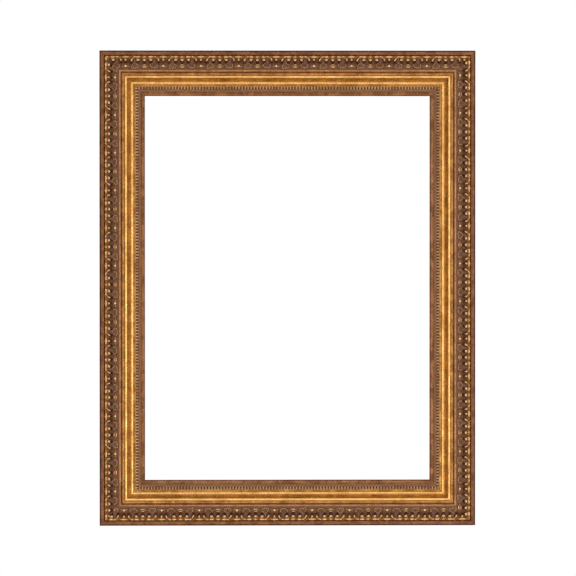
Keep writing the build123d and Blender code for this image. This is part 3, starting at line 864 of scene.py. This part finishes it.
def make_leaf_band(side, pattern):
    """Strip of leaf ornament in the wide seat of one rail."""
    shape = ornament_strip(side, FILLET_IN + STRIP_GAP, LEAF_IN - STRIP_GAP, LEAF_STEPS)
    points = points_of(shape)
    along, across = points[:, 0] - LEAF_START[side], points[:, 1] - LEAF_OUT
    shape_strip(shape, pattern, along, across, lambda place: LEAF_SEAT)
    node, matrix = f"leaf_band_{side}", side_matrix(side)
    finish_piece(node, "ornament", shape, matrix, ["leaf_gilding"], "frame")


def make_tongue_band(side, pattern):
    """Strip of tongue ornament on the sloping seat of one rail."""
    low, high = TONGUE_OUT + STRIP_GAP, TONGUE_IN - STRIP_GAP
    slope = (TONGUE_HIGH - TONGUE_LOW) / (TONGUE_IN - TONGUE_OUT)
    steepness = math.sqrt(1 + slope ** 2)
    shape = ornament_strip(side, low, high, TONGUE_STEPS)
    points = points_of(shape)
    along, across = points[:, 0], (points[:, 1] - low) * steepness

    def seat(place):
        return TONGUE_HIGH - (place.y - TONGUE_OUT) * slope

    shape_strip(shape, pattern, along, across, seat, steepness)
    node, matrix = f"tongue_band_{side}", side_matrix(side)
    finish_piece(node, "ornament", shape, matrix, ["tongue_gilding"], "frame")


leaf_pattern = Pattern(LEAF_REPEAT, FILLET_IN - LEAF_OUT, LEAF_IN - LEAF_OUT, leaf_relief)
tongue_pattern = Pattern(TONGUE_PITCH, 0.0, 5.6 * MM, tongue_relief, step=0.05, cavity_shade_blur=6)
for side in SIDES:
    make_rail(side)
    make_leaf_band(side, leaf_pattern)
    make_tongue_band(side, tongue_pattern)

# Fittings on the back. Each is modelled lying on a bench, with z up from the rail's back, and is then
# put in its place.

V_NAIL_LEG = 7.0 * MM
V_NAIL_GAUGE = 0.6 * MM
V_NAIL_LIP = 0.8 * MM
V_NAIL_DEPTH = 9.0 * MM
V_NAIL_SETBACKS = (9.0 * MM, 23.0 * MM)
V_NAIL_PROUD = 0.05 * MM
V_NAIL_ROUND = 0.06 * MM
BUTTON_INSET = 8.0 * MM
BUTTON_REACH = 17.0 * MM
BUTTON_WIDTH = 10.0 * MM
BUTTON_TIP_WIDTH = 7.0 * MM
BUTTON_GAUGE = 1.0 * MM
BUTTON_LIFT = 1.2 * MM
BUTTON_LIFT_LENGTH = 5.0 * MM
BUTTON_BEND = 0.8 * MM
BUTTON_ROUND = 0.22 * MM
BUTTON_PLAY = 0.1 * MM
BUTTON_STATIONS = {"top": 75.0 * MM, "right": 130.0 * MM, "bottom": 75.0 * MM, "left": 130.0 * MM}
BUTTON_NAMES = {
    "top": ("turn_button_top_left", "turn_button_top_right"),
    "right": ("turn_button_right_upper", "turn_button_right_lower"),
    "bottom": ("turn_button_bottom_right", "turn_button_bottom_left"),
    "left": ("turn_button_left_lower", "turn_button_left_upper"),
}
SCREW_RADIUS = 1.5 * MM
SCREW_LENGTH = 12.0 * MM
SCREW_POINT = 3.0 * MM
SCREW_HEAD_RADIUS = 3.1 * MM
SCREW_HEAD_HEIGHT = 1.6 * MM
SCREW_HEAD_WALL = 0.5 * MM
SCREW_TURN = 37  # degrees from one screw's recess to the next
RECESS_REACH = 1.7 * MM
RECESS_WIDTH = 0.75 * MM
RECESS_DEPTH = 0.9 * MM
HANGER_HEIGHT = 81.0 * MM
HANGER_INSET = 19.0 * MM
STRAP_WIDTH = 12.0 * MM
STRAP_LENGTH = 33.0 * MM
STRAP_GAUGE = 1.0 * MM
STRAP_RAMP = 5.5 * MM
STRAP_END_ROUND = 4.5 * MM
STRAP_ROUND = 0.15 * MM
STRAP_SCREW_DROPS = (8.5 * MM, 25.5 * MM)
WIRE_RADIUS = 1.3 * MM
WIRE_PLAY = 0.08 * MM
RING_RADIUS = 11.0 * MM
RING_BAR_OFFSET = 4.0 * MM
RING_CORNER = 2.5 * MM
RING_REST_GAP = 0.3 * MM
BUMPER_RADIUS = 6.35 * MM
BUMPER_THICKNESS = 3.2 * MM
BUMPER_ROUND = 0.9 * MM
BUMPER_INSET = 19.0 * MM
LOOP_INNER = WIRE_RADIUS + WIRE_PLAY
LOOP_OUTER = LOOP_INNER + STRAP_GAUGE
UP = Vector((0, 0, 1))
HANDS = (("left", -1), ("right", 1))
CORNERS = (("top_left", "top", 1), ("top_right", "top", -1), ("bottom_right", "bottom", 1),
           ("bottom_left", "bottom", -1))


def bench_matrix(side, along, across, turn=1):
    """Puts a fitting on a rail's back: its x runs along the rail, or against it with a turn of -1."""
    lay = Matrix(((turn, 0, 0), (0, -turn, 0), (0, 0, -1))).to_4x4()
    lay.translation = (along, across, 0)
    return side_matrix(side) @ lay


def join_points(shape, first, second):
    """Draw a line between two points."""
    bmesh.ops.contextual_create(shape, geom=[first, second])


def thicken(shape, faces, step):
    """Raise faces to a slab."""
    raised = bmesh.ops.extrude_face_region(shape, geom=faces, use_keep_orig=True)
    bmesh.ops.translate(shape, vec=step, verts=pick(raised["geom"], BMVert))
    bmesh.ops.recalc_face_normals(shape, faces=shape.faces)


def raise_outline(shape, height):
    """Fill the drawn outline and raise it to a slab."""
    thicken(shape, bmesh.ops.contextual_create(shape, geom=shape.edges[:])["faces"], UP * height)


def soften(shape, width, limit=40, segments=2):
    """Round the sharp edges of a shape."""
    sharp = [edge for edge in shape.edges if edge.calc_face_angle(0) > math.radians(limit)]
    bmesh.ops.bevel(
        shape, geom=sharp, offset=width, affect="EDGES", segments=segments, profile=0.5, material=-1,
        clamp_overlap=True,
    )


def add_shape(shape, extra, matrix):
    """Add one modelled shape to another, in its place."""
    bmesh.ops.transform(extra, matrix=matrix, verts=extra.verts)
    mesh = bpy.data.meshes.new("extra")
    extra.to_mesh(mesh)
    extra.free()
    shape.from_mesh(mesh)
    bpy.data.meshes.remove(mesh)


def make_v_nails(corner, side, end):
    """The two V-nails of one mitre, driven flush into the back."""
    shape = bmesh.new()
    lip_side = V_NAIL_LEG - V_NAIL_GAUGE
    half = [(V_NAIL_GAUGE, V_NAIL_GAUGE), (V_NAIL_LEG, V_NAIL_GAUGE), (V_NAIL_LEG, -V_NAIL_LIP),
            (lip_side, -V_NAIL_LIP), (lip_side, 0), (0, 0)]
    outline = half + [(b, a) for a, b in half[-2:0:-1]]
    lay = Matrix(((0, -end, 0), (1, 0, 0), (0, 0, -1))).to_4x4()
    for setback in V_NAIL_SETBACKS:
        nail = bmesh.new()
        first = pen = nail.verts.new((*outline[0], -V_NAIL_DEPTH))
        for place in outline[1:]:
            pen = draw_to(nail, pen, (*place, -V_NAIL_DEPTH))
        join_points(nail, pen, first)
        raise_outline(nail, V_NAIL_DEPTH + V_NAIL_PROUD)
        soften(nail, V_NAIL_ROUND, segments=1)
        lay.translation = (end * (half_length(side) - setback), setback, 0)
        add_shape(shape, nail, side_matrix(side) @ lay)
    bmesh.ops.recalc_face_normals(shape, faces=shape.faces)
    finish_piece(f"v_nails_{corner}", "steel", shape, Matrix(), ["nail_steel"], "frame")


def make_button(node, side, station):
    """One turn button: a tapered brass blade with round ends and a lifted tip."""
    shape = bmesh.new()
    broad, narrow = BUTTON_WIDTH / 2, BUTTON_TIP_WIDTH / 2
    lean = math.asin((broad - narrow) / BUTTON_REACH)
    corner = Vector((math.sin(lean), math.cos(lean), 0))
    start = shape.verts.new(corner * broad)
    tail_end = spin_all(shape, [start], (0, 0, 0), UP, math.pi + 2 * lean, 30)[0]
    tip_centre = Vector((BUTTON_REACH, 0, 0))
    tip_start = shape.verts.new(tip_centre + corner * narrow * Vector((1, -1, 1)))
    tip_end = spin_all(shape, [tip_start], tip_centre, UP, math.pi - 2 * lean, 24)[0]
    join_points(shape, tail_end, tip_start)
    join_points(shape, tip_end, start)
    raise_outline(shape, BUTTON_GAUGE)
    bend = BUTTON_REACH + narrow - BUTTON_LIFT_LENGTH
    for place in (bend - BUTTON_BEND, bend, bend + BUTTON_BEND):
        geometry = shape.verts[:] + shape.edges[:] + shape.faces[:]
        bmesh.ops.bisect_plane(shape, geom=geometry, plane_co=(place, 0, 0), plane_no=(1, 0, 0))
    soften(shape, BUTTON_ROUND)
    for point in shape.verts:
        point.co.z += BUTTON_PLAY + max(0, point.co.x - bend) / BUTTON_LIFT_LENGTH * BUTTON_LIFT
    matrix = bench_matrix(side, station, RABBET_EDGE - BUTTON_INSET, -1 if station > 0 else 1)
    finish_piece(node, "blade", shape, matrix, ["button_brass"], node)


def screw_shape(grip):
    """A pan-head wood screw with a cross recess, its head a grip's thickness above the bench."""
    shape = bmesh.new()
    top, shoulder = grip + SCREW_HEAD_HEIGHT, grip + SCREW_HEAD_WALL
    dome_rise = SCREW_HEAD_HEIGHT - SCREW_HEAD_WALL
    dome_radius = (SCREW_HEAD_RADIUS ** 2 + dome_rise ** 2) / (2 * dome_rise)
    dome_angle = math.asin(SCREW_HEAD_RADIUS / dome_radius)
    pen = shape.verts.new((0, 0, top))
    pen = spin_all(shape, [pen], (0, 0, top - dome_radius), (0, 1, 0), dome_angle, 7)[0]
    pen = draw_to(shape, pen, (SCREW_HEAD_RADIUS, 0, grip))
    pen = draw_to(shape, pen, (SCREW_RADIUS, 0, grip))
    pen = draw_to(shape, pen, (SCREW_RADIUS, 0, SCREW_POINT - SCREW_LENGTH))
    draw_to(shape, pen, (0, 0, -SCREW_LENGTH))
    turn_all(shape, shape.edges[:], (0, 0, 0), UP, 28)
    weld(shape)
    for axis in (Vector((1, 0, 0)), Vector((0, 1, 0))):
        for offset in (-RECESS_REACH, -RECESS_WIDTH / 2, RECESS_WIDTH / 2, RECESS_REACH):
            dome = [face for face in shape.faces if face.calc_center_median().z > shoulder]
            ring = {edge for face in dome for edge in face.edges}
            points = {point for face in dome for point in face.verts}
            bmesh.ops.bisect_plane(
                shape, geom=list(points) + list(ring) + dome, plane_co=axis * offset, plane_no=axis
            )

    def in_recess(face):
        place = face.calc_center_median()
        arms = sorted((abs(place.x), abs(place.y)))
        return place.z > shoulder and arms[0] < RECESS_WIDTH / 2 and arms[1] < RECESS_REACH

    sunk_shade = bmesh.ops.extrude_face_region(shape, geom=[face for face in shape.faces if in_recess(face)])
    bmesh.ops.translate(shape, vec=UP * -RECESS_DEPTH, verts=pick(sunk_shade["geom"], BMVert))
    bmesh.ops.recalc_face_normals(shape, faces=shape.faces)
    return shape


def make_screws(node, places, grip):
    """All the screws of one kind, each with its recess turned a little differently."""
    shape = bmesh.new()
    for number, matrix in enumerate(places):
        turn = Matrix.Rotation(math.radians(SCREW_TURN * number), 4, "Z")
        add_shape(shape, screw_shape(grip), matrix @ turn)
    finish_piece(node, "steel", shape, Matrix(), ["screw_steel"], "frame")


def make_strap(hand, sign):
    """One folded hanger strap, with a loop for the ring's bar."""
    shape = bmesh.new()
    thickness = 2 * STRAP_GAUGE
    side_step = Vector((0, -STRAP_WIDTH / 2, 0))
    centre = Vector((0, 0, LOOP_OUTER))
    ramp = Vector((STRAP_RAMP, 0, thickness))
    lean = ramp - centre
    tangent = math.atan2(lean.z, lean.x) + math.acos(LOOP_OUTER / lean.length)
    foot = shape.verts.new(side_step)
    pen = spin_all(shape, [foot], centre + side_step, (0, 1, 0), 1.5 * math.pi - tangent, 28)[0]
    for place in (ramp, Vector((STRAP_LENGTH, 0, thickness)), Vector((STRAP_LENGTH, 0, 0))):
        pen = draw_to(shape, pen, place + side_step)
    join_points(shape, pen, foot)
    hole = shape.verts.new(centre + side_step + Vector((LOOP_INNER, 0, 0)))
    turn_all(shape, [hole], centre + side_step, (0, 1, 0), 32)
    bmesh.ops.remove_doubles(shape, verts=shape.verts, dist=1e-6)
    filled = bmesh.ops.triangle_fill(shape, edges=shape.edges[:], use_beauty=True)
    thicken(shape, pick(filled["geom"], BMFace), (0, STRAP_WIDTH, 0))
    ends = [
        edge for edge in shape.edges
        if all(point.co.x > STRAP_LENGTH - 1e-6 for point in edge.verts)
        and abs(edge.verts[0].co.z - edge.verts[1].co.z) > thickness / 2
    ]
    bmesh.ops.bevel(
        shape, geom=ends, offset=STRAP_END_ROUND, affect="EDGES", segments=8, profile=0.5, material=-1
    )
    soften(shape, STRAP_ROUND, limit=60)
    matrix = bench_matrix(hand, sign * HANGER_HEIGHT, HANGER_INSET, -sign)
    finish_piece(f"hanger_strap_{hand}", "sheet", shape, matrix, ["hanger_nickel"], "frame")


def make_ring(hand, sign):
    """One D-ring of round wire, hanging from its bar."""
    shape = bmesh.new()
    bmesh.ops.create_circle(shape, segments=16, radius=WIRE_RADIUS)
    bmesh.ops.rotate(shape, cent=(0, 0, 0), matrix=Matrix.Rotation(math.pi / 2, 3, "Y"), verts=shape.verts)
    ends = shape.edges[:]

    def straight(step):
        nonlocal ends
        drawn = bmesh.ops.extrude_edge_only(shape, edges=ends)["geom"]
        bmesh.ops.translate(shape, vec=step, verts=pick(drawn, BMVert))
        ends = pick(drawn, BMEdge)

    bar = RING_RADIUS - RING_CORNER
    shank = RING_BAR_OFFSET - RING_CORNER
    straight((bar, 0, 0))
    ends = spin_all(shape, ends, (bar, RING_CORNER, 0), UP, math.pi / 2, 8)
    straight((0, shank, 0))
    ends = spin_all(shape, ends, (0, RING_BAR_OFFSET, 0), UP, math.pi, 32)
    straight((0, -shank, 0))
    ends = spin_all(shape, ends, (-bar, RING_CORNER, 0), UP, math.pi / 2, 8)
    straight((bar, 0, 0))
    weld(shape)
    fall = RING_RADIUS + RING_BAR_OFFSET
    tilt = math.asin((2 * STRAP_GAUGE + WIRE_RADIUS + RING_REST_GAP - LOOP_OUTER) / fall)
    down = Vector((0, math.sin(tilt), -math.cos(tilt)))
    right = Vector((1, 0, 0))
    matrix = Matrix((right, down, right.cross(down))).transposed().to_4x4()
    matrix.translation = (sign * (HALF_WIDTH - HANGER_INSET), BACK_Y + LOOP_OUTER, HANGER_HEIGHT)
    node = f"hanger_ring_{hand}"
    finish_piece(node, "wire", shape, matrix, ["hanger_nickel"], node)


def make_bumper(hand, sign):
    """One round felt bumper with a soft edge."""
    shape = bmesh.new()
    low = BUMPER_THICKNESS - BUMPER_ROUND
    pen = draw_to(shape, shape.verts.new((0, 0, 0)), (BUMPER_RADIUS, 0, 0))
    pen = draw_to(shape, pen, (BUMPER_RADIUS, 0, low))
    pen = spin_all(shape, [pen], (BUMPER_RADIUS - BUMPER_ROUND, 0, low), (0, -1, 0), math.pi / 2, 6)[0]
    draw_to(shape, pen, (0, 0, BUMPER_THICKNESS))
    turn_all(shape, shape.edges[:], (0, 0, 0), UP, 48)
    weld(shape)
    matrix = bench_matrix("bottom", sign * (HALF_WIDTH - BUMPER_INSET), BUMPER_INSET)
    finish_piece(f"wall_bumper_{hand}", "felt", shape, matrix, ["bumper_felt"], "frame")


for corner, side, end in CORNERS:
    make_v_nails(corner, side, end)
button_screws = []
for side in SIDES:
    for node, station in zip(BUTTON_NAMES[side], (BUTTON_STATIONS[side], -BUTTON_STATIONS[side])):
        make_button(node, side, station)
        button_screws.append(bench_matrix(side, station, RABBET_EDGE - BUTTON_INSET))
make_screws("turn_button_screws", button_screws, BUTTON_GAUGE + 2 * BUTTON_PLAY)
strap_screws = [
    bench_matrix(hand, sign * (HANGER_HEIGHT - drop), HANGER_INSET)
    for hand, sign in HANDS
    for drop in STRAP_SCREW_DROPS
]
make_screws("hanger_screws", strap_screws, 2 * STRAP_GAUGE)
for hand, sign in HANDS:
    make_strap(hand, sign)
    make_ring(hand, sign)
    make_bumper(hand, sign)

# Studio

FLOOR_DROP = 0.2
FLOOR_REACH = 1.0
CAMERA_DISTANCE = 6.0
CAMERA_SIDE = math.radians(-1.6)  # the photograph shows a little of the left and the top edge
CAMERA_RISE = math.radians(1.2)
PHOTO_FIELD = 0.5897  # width that the photograph shows, at the frame's front
PHOTO_MIDDLE = (0.0003, 0.0003)  # to the right of and above the frame's middle
FRONT_Y = CAD_BOX[0].y
WORLD_LEVEL = 0.3  # of the even light from all around
FLOOR_GLOW = 0.62  # makes the floor as white as its surroundings


def seen_directly(tree):
    """1 for rays from the camera, a mirror or glass, and 0 for the light that falls on things."""
    path = add_node(tree, "ShaderNodeLightPath")
    seen = sums(tree, "MAXIMUM", path.outputs["Is Camera Ray"], path.outputs["Is Glossy Ray"])
    return sums(tree, "MAXIMUM", seen, path.outputs["Is Transmission Ray"])


def make_floor():
    """Plain pale floor below the frame."""
    shape = bmesh.new()
    bmesh.ops.create_grid(shape, x_segments=1, y_segments=1, size=FLOOR_REACH)
    bmesh.ops.translate(shape, vec=(0, 0, CAD_BOX[0].z - FLOOR_DROP), verts=shape.verts)
    mesh = bpy.data.meshes.new("floor")
    shape.to_mesh(mesh)
    shape.free()
    floor = bpy.data.objects.new("floor", mesh)
    bpy.context.scene.collection.objects.link(floor)
    material, tree, shader = surface("pale_floor")
    shader.inputs["Base Color"].default_value = (0.82, 0.82, 0.81, 1)
    shader.inputs["Roughness"].default_value = 0.8
    shader.inputs["Emission Color"].default_value = (1, 1, 1, 1)
    join(tree, shader, Emission_Strength=stretch(tree, seen_directly(tree), 0.0, 1.0, 0.0, FLOOR_GLOW))
    mesh.materials.append(material)


def light_world(strength):
    """White surroundings for the camera and for reflections, and a dimmer even light on the frame."""
    world = bpy.data.worlds.new("studio")
    bpy.context.scene.world = world
    world.use_nodes = True
    tree = world.node_tree
    level = stretch(tree, seen_directly(tree), 0.0, 1.0, strength, 1.0)
    background = tree.nodes["Background"]
    background.inputs["Color"].default_value = (1, 1, 1, 1)
    tree.links.new(level, background.inputs["Strength"])


def add_lamp(name, place, power, size, falls=True):
    """Square soft lamp that looks at the middle of the frame, or one that only shines in its gilding."""
    data = bpy.data.lights.new(name, "AREA")
    data.energy = power
    data.size = size
    lamp = bpy.data.objects.new(name, data)
    lamp.location = place
    lamp.rotation_euler = (-Vector(place)).to_track_quat("-Z", "Y").to_euler()
    lamp.visible_camera = False
    lamp.visible_diffuse = falls
    bpy.context.scene.collection.objects.link(lamp)


def add_camera():
    """Camera almost square on to the frame, as in the photograph."""
    data = bpy.data.cameras.new("camera")
    data.sensor_width = 36.0
    data.lens = data.sensor_width * CAMERA_DISTANCE / PHOTO_FIELD
    camera = bpy.data.objects.new("camera", data)
    target = Vector((PHOTO_MIDDLE[0], FRONT_Y, PHOTO_MIDDLE[1]))
    sight = Vector((-math.tan(CAMERA_SIDE), 1, -math.tan(CAMERA_RISE))).normalized()
    camera.location = target - sight * CAMERA_DISTANCE
    camera.rotation_euler = sight.to_track_quat("-Z", "Y").to_euler()
    bpy.context.scene.collection.objects.link(camera)
    bpy.context.scene.camera = camera


make_floor()
light_world(WORLD_LEVEL)
add_lamp("key", (1.1, -2.6, -0.35), 29, 0.8)
add_lamp("front_fill", (-0.3, -4.8, -0.35), 57, 1.6)
add_lamp("glint", (2.4, -1.7, -0.3), 15, 0.7, False)
add_lamp("back_fill", (0.8, 2.0, 0.8), 15, 1.2)
add_camera()

bpy.context.scene.view_settings.view_transform = "Standard"
